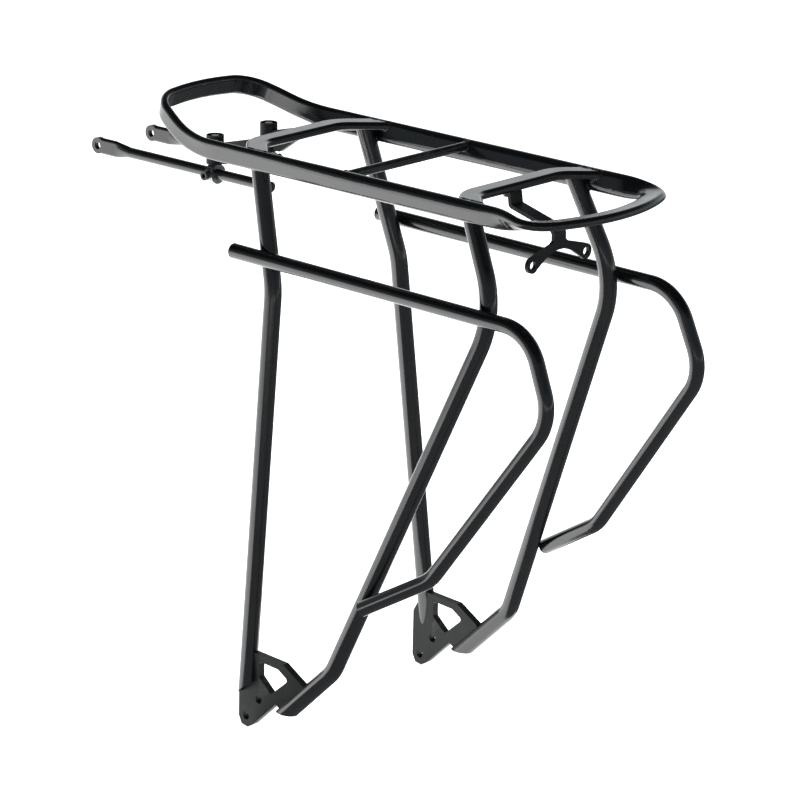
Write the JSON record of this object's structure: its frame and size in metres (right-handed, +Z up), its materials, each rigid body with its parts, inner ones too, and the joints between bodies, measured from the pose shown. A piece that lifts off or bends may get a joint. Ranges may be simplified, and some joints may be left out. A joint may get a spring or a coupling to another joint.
{
  "type": "rear rack",
  "caption": "Tubular rear rack for a bicycle: a raised-front deck loop on leaning legs, separate low pannier rails, drilled foot plates and sliding stays.",
  "frame": {"origin": "midway between the two lower bolt holes of the foot plates, on their common axis", "axes": "+X towards the back of the bicycle, +Y towards its right side, +Z up"},
  "size_m": [0.4489, 0.1852, 0.3957],
  "materials": {
    "black_coat": "semi-gloss black powder coat over steel tube",
    "plate_coat": "satin black powder coat over steel plate",
    "bracket_coat": "matt black coat over bent sheet steel",
    "stay_coat": "semi-gloss black powder coat over solid rod",
    "bright_steel": "bright plated steel hardware",
    "dark_steel": "black oxide steel screws",
    "black_plastic": "matt black moulded plastic plug"
  },
  "bodies": {
    "frame": {"deck_loop": "black_coat", "front_bridge": "black_coat", "rear_bridge": "black_coat", "mid_crossbar": "black_coat", "light_bracket": "bracket_coat", "bracket_screw": "dark_steel", "front_leg_left": "black_coat", "front_leg_right": "black_coat", "rear_leg_left": "black_coat", "rear_leg_right": "black_coat", "pannier_rail_left": "black_coat", "pannier_rail_right": "black_coat", "foot_plate_left": "plate_coat", "foot_plate_right": "plate_coat", "rail_end_cap_left": "black_plastic", "rail_end_cap_right": "black_plastic", "clamp_lug_left": "bracket_coat", "clamp_lug_right": "bracket_coat"},
    "clamp_left": {"clamp_eyebolt_left": "bright_steel", "clamp_washer_left": "bright_steel", "clamp_nut_left": "bright_steel", "clamp_screw_left": "dark_steel"},
    "stay_left": {"stay_left": "stay_coat"},
    "clamp_right": {"clamp_eyebolt_right": "bright_steel", "clamp_washer_right": "bright_steel", "clamp_nut_right": "bright_steel", "clamp_screw_right": "dark_steel"},
    "stay_right": {"stay_right": "stay_coat"}
  },
  "joints": [
    {"name": "clamp_swivel_left", "type": "hinge", "parent": "frame", "child": "clamp_left", "pos_m": [-0.0894, -0.0249, 0.3505], "axis": [0, 0, 1], "range_deg": [-7, 10]},
    {"name": "stay_slide_left", "type": "slide", "parent": "clamp_left", "child": "stay_left", "axis": [-1, 0, 0], "range_m": [-0.06, 0.035]},
    {"name": "clamp_swivel_right", "type": "hinge", "parent": "frame", "child": "clamp_right", "pos_m": [-0.0894, 0.0249, 0.3505], "axis": [0, 0, 1], "range_deg": [-10, 7]},
    {"name": "stay_slide_right", "type": "slide", "parent": "clamp_right", "child": "stay_right", "axis": [-1, 0, 0], "range_m": [-0.06, 0.035]}
  ]
}
